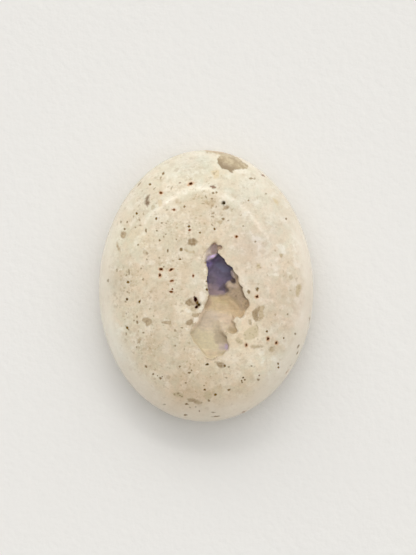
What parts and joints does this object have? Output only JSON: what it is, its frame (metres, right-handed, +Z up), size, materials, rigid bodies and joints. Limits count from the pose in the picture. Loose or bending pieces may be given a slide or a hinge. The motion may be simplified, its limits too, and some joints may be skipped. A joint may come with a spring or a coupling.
{
  "type": "cantera opal cabochon",
  "caption": "Egg-shaped polished cabochon of pale volcanic rock with an irregular opal window in its high dome and a flat base.",
  "frame": {"origin": "on the flat base, under the middle of the stone's box", "axes": "+Y along the long axis, towards the narrower end; +Z up through the top of the dome"},
  "size_m": [0.0158, 0.02, 0.0056],
  "materials": {
    "stone": "polished",
    "opal": "polished"
  },
  "bodies": {
    "root": {"cabochon": "stone"}
  },
  "joints": []
}
